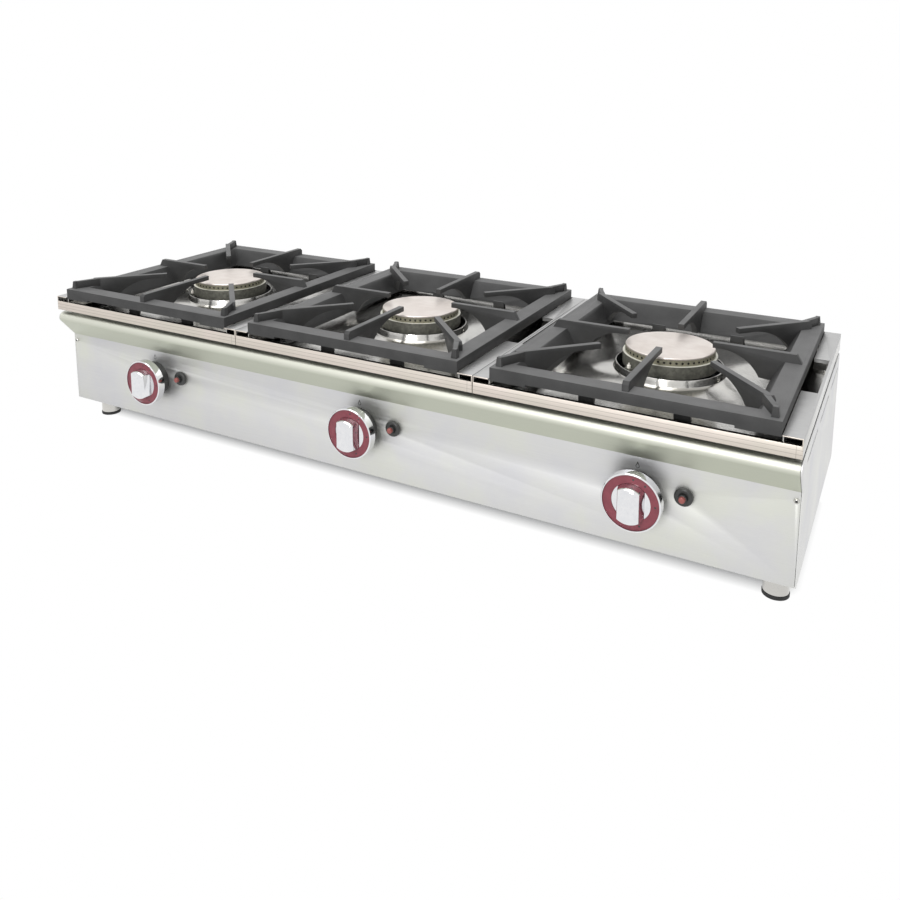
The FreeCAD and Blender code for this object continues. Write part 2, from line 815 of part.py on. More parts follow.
def make_pan_support(number):
    body = new_body(f"pan_support_{number}", module_x(number), centre_y, foot_height)
    rim = new_sketch(body, "rim", offset=support_bottom)
    frame_rectangle(rim, 0)
    add_pad(body, "rim", rim, support_top - support_bottom)
    hollow = new_sketch(body, "hollow", offset=support_shelf)
    frame_rectangle(hollow, support_wall)
    frame_rectangle(hollow, rim_width - support_wall)
    add_pocket(body, "hollow", hollow, support_shelf - support_bottom)
    frame_loft(body, "skirt", "AdditiveLoft", [
        (rim_width - support_wall, support_shelf),
        (skirt_inset - support_wall, skirt_level),
    ])
    frame_loft(body, "mouth", "SubtractiveLoft", [
        (rim_width, support_top),
        (rim_width + rim_round, support_top - rim_round),
        (skirt_inset, skirt_level),
    ])
    toe_end = support_half_depth - skirt_inset
    for side_y, row in ((-1, "front"), (1, "rear")):
        for side_x, name in ((-1, "left"), (1, "right")):
            x = in_order(side_x, support_half - corner_length, support_half)
            y = in_order(side_y, support_half_depth - support_wall, support_half_depth)
            box(body, f"{row}_{name}_block", x, y, (support_bottom - corner_drop, support_shelf))
            x = (toe_spread * side_x - toe_width / 2, toe_spread * side_x + toe_width / 2)
            y = in_order(side_y, toe_end, toe_end + support_wall)
            box(body, f"{row}_{name}_toe", x, y, (tray_floor, skirt_level + support_wall / 2))
            make_post(body, f"{row}_{name}_post", (support_half - post_side) * side_x,
                      (support_half_depth - post_end) * side_y)
    make_fingers(body)


# Burners


def make_burner_body(number):
    body = new_body(f"burner_body_{number}", module_x(number), centre_y, foot_height)
    wall = burner_wall
    turned(body, "cup", [
        (0, throat_low),
        (throat_radius, throat_low),
        (throat_radius, flare_low),
        (ring_radius, ring_low),
        (ring_radius, head_low),
        (ring_radius - ring_width, head_low),
        (ring_radius - ring_width, ring_low + wall),
        (throat_radius - wall, flare_low + wall),
        (throat_radius - wall, throat_low + wall),
        (0, throat_low + wall),
    ])
    mouth = centre_y - front_y - mixer_front
    tube = new_sketch(body, "mixer", "XZ_Plane", throat_radius - wall / 2)
    circle(tube, mixer_radius, 0, mixer_level)
    add_pad(body, "mixer", tube, mouth - throat_radius + wall / 2)
    bore = new_sketch(body, "mixer_bore", "XZ_Plane", mouth)
    circle(bore, mixer_radius - wall, 0, mixer_level)
    add_pocket(body, "mixer_bore", bore, mouth)
    ear = new_sketch(body, "ear", offset=ring_low)
    turn(ear, "AttachmentOffset", Vector(0, 0, 1), electrode_azimuth)
    bind(ear, "AttachmentOffset.Base.z", ring_low)
    reach = electrode_place + electrode_radius + ear_edge
    rectangle(ear, (ring_radius - wall, reach), (-ear_width / 2, ear_width / 2))
    circle(ear, electrode_radius + fit, electrode_place, 0)
    add_pad(body, "ear", ear, ear_height)


def make_burner_head(number):
    """A brass ring of flame ports between the burner body and its cap."""
    body = new_body(f"burner_head_{number}", module_x(number), centre_y, foot_height)
    disc(body, "ring", head_radius, (head_low, cap_low), bore=head_radius - head_wall)
    port = new_sketch(body, "port", "XZ_Plane", head_radius + head_wall)
    circle(port, port_radius, 0, (head_low + cap_low) / 2)
    first = add_pocket(body, "port", port, head_radius)
    ports = body.newObject("PartDesign::PolarPattern", f"{body.Name}_ports")
    ports.Originals = [first]
    ports.Axis = (origin_item(body, "Z_Axis"), [""])
    ports.Angle = 360
    ports.Occurrences = port_count
    body.Tip = ports


def make_burner_cap(number):
    body = new_body(f"burner_cap_{number}", module_x(number), centre_y, foot_height)
    locator = head_radius - head_wall - loose
    turned(body, "cap", [
        (0, cap_low),
        (locator - head_wall, cap_low),
        (locator - head_wall, cap_low - cap_locator),
        (locator, cap_low - cap_locator),
        (locator, cap_low),
        (cap_radius, cap_low),
        (cap_radius, cap_top - cap_bevel),
        (cap_radius - cap_bevel, cap_top),
        (0, cap_top),
    ])


def make_burner_brackets():
    """Three bent stands that carry the burners on the base."""
    stands = []
    half = throat_radius + stand_margin
    y = (-half, half)
    for number in modules:
        body = new_body(f"stand_{number}", module_x(number), centre_y, foot_height)
        box(body, "top", (-half, half), y, (throat_low - sheet_wall, throat_low))
        for side, name in ((-1, "left"), (1, "right")):
            leg = in_order(side, half - sheet_wall, half)
            foot = in_order(side, half - sheet_wall, half + stand_foot)
            box(body, f"{name}_leg", leg, y, (sheet_wall, throat_low))
            box(body, f"{name}_foot", foot, y, (sheet_wall, sheet_wall * 2))
        stands.append(body)
    group("burner_brackets", stands)


def make_spark_electrodes():
    """A ceramic electrode in the ear of each burner."""
    rods = []
    for number in modules:
        body = new_body(f"electrode_{number}")
        turn(body, "Placement", Vector(0, 0, 1), electrode_azimuth)
        place(body, module_x(number), centre_y, foot_height)
        ceramic_top = electrode_top - electrode_bare
        collar = (ring_low - ear_height, ring_low)
        disc(body, "ceramic", electrode_radius, (electrode_low, ceramic_top), electrode_place)
        disc(body, "collar", electrode_collar, collar, electrode_place)
        disc(body, "wire", electrode_wire, (ceramic_top, electrode_top), electrode_place)
        rods.append(body)
    group("spark_electrodes", rods)


# Gas pipes


def make_manifold():
    level = foot_height + manifold_level
    body = new_body("gas_manifold", 0, panel_y + manifold_back, level)
    tube = new_sketch(body, "tube", "YZ_Plane")
    circle(tube, manifold_radius)
    add_pad(body, "tube", tube, manifold_half * 2, middle=True)
    plate = (sheet_wall - manifold_level, 0)
    for side, name in ((-1, "left"), (1, "right")):
        middle = saddle_spread * side
        x = (middle - saddle_thick / 2, middle + saddle_thick / 2)
        box(body, f"{name}_saddle", x, (-saddle_width / 2, saddle_width / 2), plate)
    spigot_top = manifold_drop - tap_half
    for number in modules:
        disc(body, f"spigot_{number}", spigot_radius, (0, spigot_top), knob_x(number))
    for number in modules:
        disc_cut(body, f"spigot_bore_{number}", spigot_bore, (0, spigot_top), knob_x(number))
    bore = new_sketch(body, "bore", "YZ_Plane", manifold_half)
    circle(bore, manifold_radius - manifold_wall)
    add_pocket(body, "bore", bore, manifold_half * 2 - manifold_cap)


def make_gas_inlet():
    level = foot_height + manifold_level
    body = new_body("gas_inlet", manifold_half, panel_y + manifold_back, level)
    outer_back = depth - rear_step - panel_setback - manifold_back
    across = inlet_run + inlet_bend
    path = new_sketch(body, "path")
    outline(path, [
        (0, 0),
        (inlet_run, 0, inlet_run, inlet_bend, "left"),
        (across, inlet_bend),
        (across, outer_back + inlet_out),
    ], closed=False)
    ring = new_sketch(body, "ring", "YZ_Plane")
    circle(ring, inlet_radius)
    circle(ring, inlet_radius - inlet_wall)
    piped(body, "pipe", path, ring)
    collar = new_sketch(body, "collar", "XZ_Plane", -(outer_back + inlet_collar_length))
    circle(collar, inlet_collar, across, 0)
    circle(collar, inlet_radius - inlet_wall, across, 0)
    add_pad(body, "collar", collar, inlet_collar_length)


def make_supply_pipe(number):
    """A bent pipe from the back of a tap to the injector under its burner."""
    rise = mixer_level - knob_level
    aside = module_x(number) - knob_x(number)
    climb = root(rise * rise + aside * aside)
    reach = mixer_front - jet_air - jet_length - panel_setback - tap_rear
    body = new_body(f"supply_pipe_{number}")
    turn(body, "Placement", Vector(0, 1, 0), angle_of(aside, rise))
    place(body, knob_x(number), panel_y + tap_rear, knob_z)
    path = new_sketch(body, "path", "YZ_Plane")
    outline(path, [
        (0, 0),
        (pipe_run, 0, pipe_run, pipe_bend, "left"),
        (pipe_run + pipe_bend, pipe_bend),
        (pipe_run + pipe_bend, climb - pipe_bend, pipe_run + pipe_bend * 2, climb - pipe_bend, "right"),
        (pipe_run + pipe_bend * 2, climb),
        (reach, climb),
    ], closed=False)
    ring = new_sketch(body, "ring", "XZ_Plane")
    circle(ring, pipe_radius)
    circle(ring, pipe_radius - pipe_wall)
    piped(body, "pipe", path, ring)
    union = new_sketch(body, "union", "XZ_Plane", -union_length)
    circle(union, union_radius)
    circle(union, pipe_radius - pipe_wall)
    add_pad(body, "union", union, union_length)


def make_injectors():
    jets = []
    for number in modules:
        y = front_y + mixer_front - jet_air
        body = new_body(f"injector_{number}", module_x(number), y, foot_height + mixer_level, forward=True)
        bore = pipe_radius - pipe_wall
        turned(body, "jet", [
            (jet_bore, 0),
            (jet_nose, 0),
            (jet_radius, jet_taper),
            (jet_radius, jet_length),
            (bore, jet_length),
            (bore, jet_taper),
            (jet_bore, jet_taper / 2),
        ])
        jets.append(body)
    group("injectors", jets)


# Taps and knobs


def make_tap(number):
    body = new_body(f"tap_body_{number}", knob_x(number), panel_y, knob_z, forward=True)
    square = (-tap_half, tap_half)
    box(body, "block", square, square, (-tap_rear, -tap_front))
    disc_cut(body, "stem_hole", stem_radius + loose, (-tap_rear, -tap_front))
    disc_cut(body, "plug_bore", plug_radius + fit, (-tap_rear, -tap_front - tap_wall))
    gas = new_sketch(body, "gas_hole", "XZ_Plane", tap_half)
    circle(gas, spigot_bore, 0, -manifold_back)
    add_pocket(body, "gas_hole", gas, tap_half)


def make_tap_plug(number):
    """The turning plug inside a tap."""
    body = new_body(f"tap_plug_{number}", knob_x(number), panel_y, knob_z, forward=True)
    back = plug_end_gap - tap_rear
    turned(body, "plug", [
        (stem_radius + fit, plug_front),
        (plug_radius, plug_front),
        (plug_radius, back),
        (0, back),
        (0, plug_front - stem_socket),
        (stem_radius + fit, plug_front - stem_socket),
    ])
    port = new_sketch(body, "port", "YZ_Plane")
    circle(port, plug_port, 0, -manifold_back)
    add_pocket(body, "port", port, plug_radius * 4, middle=True)


def make_tap_stem(number):
    body = new_body(f"tap_stem_{number}", knob_x(number), panel_y, knob_z, forward=True)
    disc(body, "stem", stem_radius, (stem_low, stem_top))


def make_knob_base(number):
    body = new_body(f"knob_base_{number}", knob_x(number), panel_y, knob_z, forward=True)
    hole = stem_radius + stem_gap
    base_top = knob_roof - push_travel - push_margin
    turned(body, "base", [
        (hole, 0),
        (base_radius, 0),
        (base_radius, base_top),
        (base_radius - base_wall, base_top),
        (base_radius - base_wall, base_wall),
        (hole, base_wall),
    ])


def make_knob(number):
    body = new_body(f"knob_{number}", knob_x(number), panel_y, knob_z, forward=True)
    bore = stem_radius + fit
    rear = knob_front - knob_depth
    lip = ring_outer + ring_gap
    turned(body, "shell", [
        (bore, boss_low),
        (boss_radius, boss_low),
        (boss_radius, knob_roof),
        (knob_radius - knob_wall, knob_roof),
        (knob_radius - knob_wall, rear),
        (knob_radius, rear),
        (knob_radius, knob_front - knob_bevel),
        (knob_radius - knob_bevel, knob_front),
        (lip, knob_front),
        (lip, knob_face),
        (0, knob_face),
        (0, stem_top),
        (bore, stem_top),
    ])
    top = knob_front + grip_rise
    sections = ((grip_foot / 2, grip_radius, knob_face), (grip_width / 2, grip_radius - grip_draft, top))
    sketches = []
    for step, (half, radius, level) in enumerate(sections):
        grip = new_sketch(body, f"grip_{step}", offset=level)
        rise = root(radius * radius - half * half)
        outline(grip, [
            (half, -rise),
            (half, rise, 0, 0, "left"),
            (-half, rise),
            (-half, -rise, 0, 0, "left"),
        ])
        sketches.append(grip)
    pad = body.newObject("PartDesign::AdditiveLoft", f"{body.Name}_grip")
    pad.Profile = sketches[0]
    pad.Sections = sketches[1:]
    pad.Ruled = True
    body.Tip = pad
    doc.recompute()
    fillet = body.newObject("PartDesign::Fillet", f"{body.Name}_grip_round")
    fillet.Base = (pad, edges_at(pad.Shape, top.value))
    bind(fillet, "Radius", grip_round)
    body.Tip = fillet


def edges_at(shape, level):
    """Names of the edges that lie flat at one height."""
    names = []
    for number, edge in enumerate(shape.Edges, 1):
        heights = [vertex.Z for vertex in edge.Vertexes]
        if max(abs(height - level) for height in heights) < 0.001:
            names.append(f"Edge{number}")
    return names


def make_knob_ring(number):
    """The red scale ring in a knob's face."""
    body = new_body(f"knob_ring_{number}", knob_x(number), panel_y, knob_z, forward=True)
    disc(body, "ring", ring_outer, (knob_face, knob_face + ring_thick), bore=ring_inner)


def igniter_place(number):
    return knob_x(number) + button_shift, panel_y, knob_z + button_lift


def make_igniter_body(number):
    body = new_body(f"igniter_body_{number}", *igniter_place(number), forward=True)
    bore = button_radius + fit
    turned(body, "sleeve", [
        (0, -barrel_depth),
        (barrel_radius, -barrel_depth),
        (barrel_radius, 0),
        (bezel_radius, 0),
        (bezel_radius, bezel_thick - bezel_bevel),
        (bezel_radius - bezel_bevel, bezel_thick),
        (bore, bezel_thick),
        (bore, barrel_end - barrel_depth),
        (0, barrel_end - barrel_depth),
    ])


def make_igniter_button(number):
    body = new_body(f"igniter_button_{number}", *igniter_place(number), forward=True)
    turned(body, "button", [
        (0, -button_tail),
        (button_radius, -button_tail),
        (button_radius, button_shoulder),
        (button_tip, button_shoulder),
        (button_tip, button_reach - button_bevel),
        (button_tip - button_bevel, button_reach),
        (0, button_reach),
    ])


# The whole range


def build():
    make_base_panel()
    make_side_panel("left_side_panel", -1)
    make_side_panel("right_side_panel", 1)
    make_back_panel()
    make_control_panel()
    make_rails()
    make_feet()
    make_panel_screws()
    make_burner_brackets()
    make_manifold()
    make_gas_inlet()
    make_injectors()
    make_spark_electrodes()
    for number in modules:
        make_tray(number)
        make_pan_support(number)
        make_burner_body(number)
        make_burner_head(number)
        make_burner_cap(number)
        make_supply_pipe(number)
        make_tap(number)
        make_tap_plug(number)
        make_tap_stem(number)
        make_knob_base(number)
        make_knob(number)
        make_knob_ring(number)
        make_igniter_body(number)
        make_igniter_button(number)
    doc.recompute()


def sub_parts():
    """Every body and group that is a node of its own."""
    groups = [item for item in doc.Objects if item.TypeId == "Part::Compound"]
    grouped = [member.Name for item in groups for member in item.Links]
    bodies = [item for item in doc.Objects if item.TypeId == "PartDesign::Body"]
    return groups + [body for body in bodies if body.Name not in grouped]


def check():
    for item in doc.Objects:
        if "Invalid" in item.State or "Error" in item.State:
            raise RuntimeError(f"{item.Name} failed: {item.State}")
    for item in sub_parts():
        if item.Shape.isNull() or not item.Shape.isValid() or not item.Shape.Solids:
            raise RuntimeError(f"{item.Label} has no valid solid")


def save():
    os.makedirs("parts", exist_ok=True)
    for item in sub_parts():
        item.Shape.exportStep(f"parts/{item.Label}.step")
        print(f"{item.Label}: {len(item.Shape.Solids)} solid, {item.Shape.Volume / 1000:.1f} cm3")


build()
check()
save()
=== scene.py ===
import json
import math

import bmesh
import bpy
from mathutils import Matrix, Vector


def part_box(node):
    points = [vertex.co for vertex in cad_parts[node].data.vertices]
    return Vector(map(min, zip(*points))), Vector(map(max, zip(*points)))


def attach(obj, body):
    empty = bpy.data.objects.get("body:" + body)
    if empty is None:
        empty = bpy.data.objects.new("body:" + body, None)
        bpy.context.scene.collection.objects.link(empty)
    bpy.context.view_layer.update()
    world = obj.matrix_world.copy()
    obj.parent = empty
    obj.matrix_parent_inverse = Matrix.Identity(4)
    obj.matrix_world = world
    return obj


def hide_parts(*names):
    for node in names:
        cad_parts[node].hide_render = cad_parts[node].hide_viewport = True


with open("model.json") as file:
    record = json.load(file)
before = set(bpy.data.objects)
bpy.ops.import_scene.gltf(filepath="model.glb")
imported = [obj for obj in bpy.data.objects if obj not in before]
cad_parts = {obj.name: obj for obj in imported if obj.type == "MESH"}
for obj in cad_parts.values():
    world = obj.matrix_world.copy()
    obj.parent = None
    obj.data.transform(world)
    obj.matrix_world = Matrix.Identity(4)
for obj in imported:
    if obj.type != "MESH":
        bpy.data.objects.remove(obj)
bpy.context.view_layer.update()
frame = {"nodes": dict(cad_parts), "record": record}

mm = 0.001
modules = (1, 2, 3)
modulePitch = 400  # millimetres, as the materials count
knobPlaces = {1: -0.4025, 2: 0.0055, 3: 0.4135}
knobHeight = 0.111
burnerY = -0.006
panelSetback = 29.5 * mm
# in millimetres: the ring of flame ports and the top edge of the cup round it
burnerRing = {"portFloor": 60.0, "portFace": 60.5, "ports": 48, "portLevel": 238.9,
              "portShadeRadius": (1.35, 1.75), "lip": 235.0, "brightTopEdge": (0.5, 0.3)}
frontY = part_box("top_tray_1")[0][1]  # the front of the trays' bands
panelY = frontY + panelSetback
bodyOfNode = {node: body for body, nodes in frame["record"]["behaviour"]["bodies"].items() for node in nodes}
slotOfNode = {part["node"]: part["material_slot"] for part in frame["record"]["subparts"]}


def linearColour(code):
    channels = [int(code[i:i + 2], 16) / 255 for i in (1, 3, 5)]
    return [c / 12.92 if c <= 0.04045 else ((c + 0.055) / 1.055) ** 2.4 for c in channels] + [1.0]


def addNode(tree, kind, inputs=None, **settings):
    node = tree.nodes.new(kind)
    for name, value in settings.items():
        setattr(node, name, value)
    for name, value in (inputs or {}).items():
        if isinstance(value, bpy.types.NodeSocket):
            tree.links.new(value, node.inputs[name])
        else:
            node.inputs[name].default_value = value
    return node


def calculate(tree, operation, first, second=None):
    inputs = {0: first} if second is None else {0: first, 1: second}
    return addNode(tree, "ShaderNodeMath", inputs, operation=operation).outputs[0]


def newMaterial(name, **surface):
    material = bpy.data.materials.new(name)
    material.use_nodes = True
    shader = material.node_tree.nodes["Principled BSDF"]
    for socket, value in surface.items():
        shader.inputs[socket.replace("_", " ")].default_value = value
    return material, material.node_tree, shader


def placeOf(tree, scale=(1, 1, 1)):
    # object coordinates in millimetres, stretched where a pattern runs one way
    coordinates = addNode(tree, "ShaderNodeTexCoord")
    mapping = addNode(tree, "ShaderNodeMapping", {"Vector": coordinates.outputs["Object"]})
    mapping.inputs["Scale"].default_value = [s / mm for s in scale]
    return mapping.outputs["Vector"]


def noiseAt(tree, place, sizeMm, detail=2.0, roughness=0.5):
    return addNode(tree, "ShaderNodeTexNoise", {
        "Vector": place, "Scale": 1 / sizeMm, "Detail": detail, "Roughness": roughness})


def rampOf(tree, factor, stops):
    ramp = addNode(tree, "ShaderNodeValToRGB", {"Fac": factor})
    for i, (position, code) in enumerate(stops):
        stop = ramp.color_ramp.elements[i] if i < 2 else ramp.color_ramp.elements.new(position)
        stop.position = position
        stop.color = linearColour(code)
    return ramp.outputs["Color"]


def rangeOf(tree, factor, low, high, fromLow=0.3, fromHigh=0.7):
    # as given the source is a noise, which seldom leaves 0.3 to 0.7
    return addNode(tree, "ShaderNodeMapRange", {
        "Value": factor, "From Min": fromLow, "From Max": fromHigh,
        "To Min": low, "To Max": high}).outputs["Result"]


def bumpOf(tree, shader, height, depthMm):
    bump = addNode(tree, "ShaderNodeBump", {"Height": height, "Distance": depthMm * mm, "Strength": 1.0})
    tree.links.new(bump.outputs["Normal"], shader.inputs["Normal"])


def colourOf(material):
    # a finished material opened again: its tree, its shader and what gives its colour so far
    shader = material.node_tree.nodes["Principled BSDF"]
    return material.node_tree, shader, shader.inputs["Base Color"].links[0].from_socket


def brushedSteel(name, stops, grain=(0.02, 1, 1), roughness=(0.46, 0.58), patchMm=75):
    # AISI 304 sheet, brushed in the mill: soft long reflections and faint cloudy tints
    material, tree, shader = newMaterial(name, Metallic=1.0)
    patches = noiseAt(tree, placeOf(tree), patchMm, 3, 0.55)
    tree.links.new(rampOf(tree, patches.outputs["Fac"], stops), shader.inputs["Base Color"])
    lines = noiseAt(tree, placeOf(tree, grain), 0.9, 2, 0.6)  # brush lines, drawn coarser than real ones
    tree.links.new(rangeOf(tree, lines.outputs["Fac"], *roughness), shader.inputs["Roughness"])
    bumpOf(tree, shader, lines.outputs["Fac"], 0.008)
    return material


def frontPanelSteel():
    # the same sheet on the control panel, with painted shade on the slanted band over the crease, which looks
    # down and takes less light, and a warmer painted reflection on the nose
    bands = {"crease": (157.2, 157.8), "nose": (188.0, 194.0), "slantedShade": "#c6c9bb", "noseReflectionTint": "#d2d3c8"}
    material = brushedSteel("frontPanelStainless", [(0.32, "#d0d0d2"), (0.5, "#d3d3d2"), (0.68, "#d5d6cf")])
    tree, shader, plain = colourOf(material)
    height = addNode(tree, "ShaderNodeSeparateXYZ", {"Vector": placeOf(tree)}).outputs["Z"]
    # painted shade on the slanted band and painted reflection on the nose, laid on by height
    slantedShade = mixColours(tree, rangeOf(tree, height, 0, 1, *bands["crease"]), plain, bands["slantedShade"])
    both = mixColours(tree, rangeOf(tree, height, 0, 1, *bands["nose"]), slantedShade, bands["noseReflectionTint"])
    tree.links.new(both, shader.inputs["Base Color"])
    return material


def lineAt(tree, value, centre, half):
    # 1 on a thin line across the value, 0 beside it
    distance = calculate(tree, "ABSOLUTE", calculate(tree, "SUBTRACT", value, centre))
    return rangeOf(tree, distance, 1, 0, half / 2, half)


def largest(tree, first, *others):
    for other in others:
        first = calculate(tree, "MAXIMUM", first, other)
    return first


def mixColours(tree, factor, first, second):
    mix = addNode(tree, "ShaderNodeMix", data_type="RGBA")
    tree.links.new(factor, mix.inputs[0])
    for socket, value in ((mix.inputs[6], first), (mix.inputs[7], second)):  # a mix node's colour sockets
        if isinstance(value, bpy.types.NodeSocket):
            tree.links.new(value, socket)
        else:
            socket.default_value = linearColour(value)
    return mix.outputs[2]


def mixValues(tree, factor, first, second):
    mix = addNode(tree, "ShaderNodeMix", data_type="FLOAT")
    for socket, value in ((mix.inputs[0], factor), (mix.inputs[2], first), (mix.inputs[3], second)):
        tree.links.new(value, socket)
    return mix.outputs[0]


def pressedTray():
    # one stainless sheet: bright and wavy in the well, brushed on the flanges, pinkish on the band
    sheet = {"flangeLevel": (226, 227), "bandDepth": (0.3, 0.9), "hems": (213.5, 218.6), "hemHalf": 0.35,
             "sideHem": 392.5, "leftEnd": -1.5 * modulePitch}
    material, tree, shader = newMaterial("pressedTraySheet", Metallic=1.0)
    place = placeOf(tree)
    parts = addNode(tree, "ShaderNodeSeparateXYZ", {"Vector": place})
    flange = rangeOf(tree, parts.outputs["Z"], 0, 1, *sheet["flangeLevel"])
    band = rangeOf(tree, parts.outputs["Y"], 1, 0, *[frontY / mm + depth for depth in sheet["bandDepth"]])
    brushed = largest(tree, flange, band)
    patches = noiseAt(tree, place, 60, 2)
    well = rampOf(tree, patches.outputs["Fac"], [(0.3, "#bdbcb9"), (0.7, "#d2d0cb")])
    lines = noiseAt(tree, placeOf(tree, (0.05, 1, 1)), 0.9, 2, 0.6)
    grey = rampOf(tree, lines.outputs["Fac"], [(0.3, "#b3b3b3"), (0.7, "#c6c6c5")])
    warm = rampOf(tree, patches.outputs["Fac"], [(0.3, "#d0cabf"), (0.7, "#d8cec6")])
    colour = mixColours(tree, band, mixColours(tree, flange, well, grey), warm)
    fromLeft = calculate(tree, "SUBTRACT", parts.outputs["X"], sheet["leftEnd"])
    inModule = calculate(tree, "MODULO", fromLeft, modulePitch)
    hems = largest(tree, *[lineAt(tree, parts.outputs["Z"], z, sheet["hemHalf"]) for z in sheet["hems"]],
                   lineAt(tree, inModule, sheet["sideHem"], sheet["hemHalf"]))
    seen = calculate(tree, "MULTIPLY", hems, band)
    tree.links.new(mixColours(tree, seen, colour, "#aaa49c"), shader.inputs["Base Color"])
    scuffs = noiseAt(tree, place, 4, 4, 0.7)
    tree.links.new(mixValues(tree, brushed, rangeOf(tree, scuffs.outputs["Fac"], 0.12, 0.24),
                             rangeOf(tree, lines.outputs["Fac"], 0.4, 0.52)), shader.inputs["Roughness"])
    waves = noiseAt(tree, place, 38, 1)
    bumpOf(tree, shader, waves.outputs["Fac"], 0.5)
    return material


def rolledSteel(name, stops, roughness=(0.1, 0.2), waveMm=38, waveDepth=0.5):
    # bright cold rolled sheet, slightly buckled by pressing: wavy, nearly mirror reflections
    material, tree, shader = newMaterial(name, Metallic=1.0)
    place = placeOf(tree)
    patches = noiseAt(tree, place, 60, 2)
    tree.links.new(rampOf(tree, patches.outputs["Fac"], stops), shader.inputs["Base Color"])
    scuffs = noiseAt(tree, place, 4, 4, 0.7)
    tree.links.new(rangeOf(tree, scuffs.outputs["Fac"], *roughness), shader.inputs["Roughness"])
    waves = noiseAt(tree, place, waveMm, 1)
    bumpOf(tree, shader, waves.outputs["Fac"], waveDepth)
    return material


def enamelledIron():
    # cast iron under matt grey-black vitreous enamel: dull and grainy, with painted light: paler on top and
    # darker on the sides, as light from above falls on them
    turnsUp = (0.75, 0.97)  # the upward part of a face's normal, from side to top
    material, tree, shader = newMaterial("mattEnamelOnCastIron", IOR=1.5, Specular_IOR_Level=0.4)
    place = placeOf(tree)
    clouds = noiseAt(tree, place, 30, 3)
    # painted shade on the sides and painted light on the tops: a shaded and a lit copy of one enamel
    sides = rampOf(tree, clouds.outputs["Fac"], [(0.3, "#2c2c2c"), (0.7, "#363636")])
    litTops = rampOf(tree, clouds.outputs["Fac"], [(0.3, "#5a5a5a"), (0.7, "#646464")])
    facing = addNode(tree, "ShaderNodeSeparateXYZ", {
        "Vector": addNode(tree, "ShaderNodeNewGeometry").outputs["Normal"]})
    paintedLightShare = rangeOf(tree, facing.outputs["Z"], 0, 1, *turnsUp)
    tree.links.new(mixColours(tree, paintedLightShare, sides, litTops), shader.inputs["Base Color"])
    grit = noiseAt(tree, place, 1.3, 3, 0.6)  # sand-cast grit, about twice the real grain so that it shows
    tree.links.new(rangeOf(tree, grit.outputs["Fac"], 0.5, 0.62), shader.inputs["Roughness"])
    bumpOf(tree, shader, grit.outputs["Fac"], 0.08)
    return material


def tippedButton():
    # black moulded button with a dull red tip
    tipLength = (9.2, 9.0)  # millimetres out of the panel
    material, tree, shader = newMaterial("redTippedButton", IOR=1.52)
    place = placeOf(tree)
    parts = addNode(tree, "ShaderNodeSeparateXYZ", {"Vector": place})
    tip = rangeOf(tree, parts.outputs["Y"], 1, 0, *[panelY / mm - length for length in tipLength])
    shades = noiseAt(tree, place, 5, 2)
    black = rampOf(tree, shades.outputs["Fac"], [(0.3, "#232424"), (0.7, "#2d2c2c")])
    red = rampOf(tree, shades.outputs["Fac"], [(0.3, "#7a3c39"), (0.7, "#92504a")])
    tree.links.new(mixColours(tree, tip, black, red), shader.inputs["Base Color"])
    tree.links.new(rangeOf(tree, shades.outputs["Fac"], 0.25, 0.35), shader.inputs["Roughness"])
    return material


def spunCap():
    # spun steel cap with a warm heat tint and a fine sanded face
    material, tree, shader = newMaterial("spunSteelCap", Metallic=0.85)
    place = placeOf(tree)
    tint = noiseAt(tree, place, 26, 3, 0.6)
    tree.links.new(rampOf(tree, tint.outputs["Fac"], [(0.3, "#d6cdc6"), (0.55, "#e0d8d2"), (0.8, "#e6e0da")]),
                   shader.inputs["Base Color"])
    grain = noiseAt(tree, place, 0.8, 3, 0.7)
    tree.links.new(rangeOf(tree, grain.outputs["Fac"], 0.34, 0.5), shader.inputs["Roughness"])
    bumpOf(tree, shader, grain.outputs["Fac"], 0.02)
    return material


def heatedMetal(name, stops, grainMm, depthMm, metallic, roughness=(0.35, 0.6)):
    # cast or turned metal dulled by flame: mottled colour and an uneven skin
    material, tree, shader = newMaterial(name, Metallic=metallic)
    place = placeOf(tree)
    spots = noiseAt(tree, place, grainMm * 5, 4, 0.65)
    tree.links.new(rampOf(tree, spots.outputs["Fac"], stops), shader.inputs["Base Color"])
    grain = noiseAt(tree, place, grainMm, 3, 0.6)
    tree.links.new(rangeOf(tree, grain.outputs["Fac"], *roughness), shader.inputs["Roughness"])
    bumpOf(tree, shader, grain.outputs["Fac"], depthMm)
    return material


def fromBurner(tree, place):
    # the way from the nearest burner's axis across the top, in millimetres
    parts = addNode(tree, "ShaderNodeSeparateXYZ", {"Vector": place})
    axis = calculate(tree, "SNAP", calculate(tree, "ADD", parts.outputs["X"], modulePitch / 2), modulePitch)
    aside = calculate(tree, "SUBTRACT", parts.outputs["X"], axis)
    along = calculate(tree, "SUBTRACT", parts.outputs["Y"], burnerY / mm)
    return aside, along, parts.outputs["Z"]


def lengthOf(tree, x, y):
    flat = addNode(tree, "ShaderNodeCombineXYZ", {"X": x, "Y": y})
    return addNode(tree, "ShaderNodeVectorMath", {0: flat.outputs[0]}, operation="LENGTH").outputs["Value"]


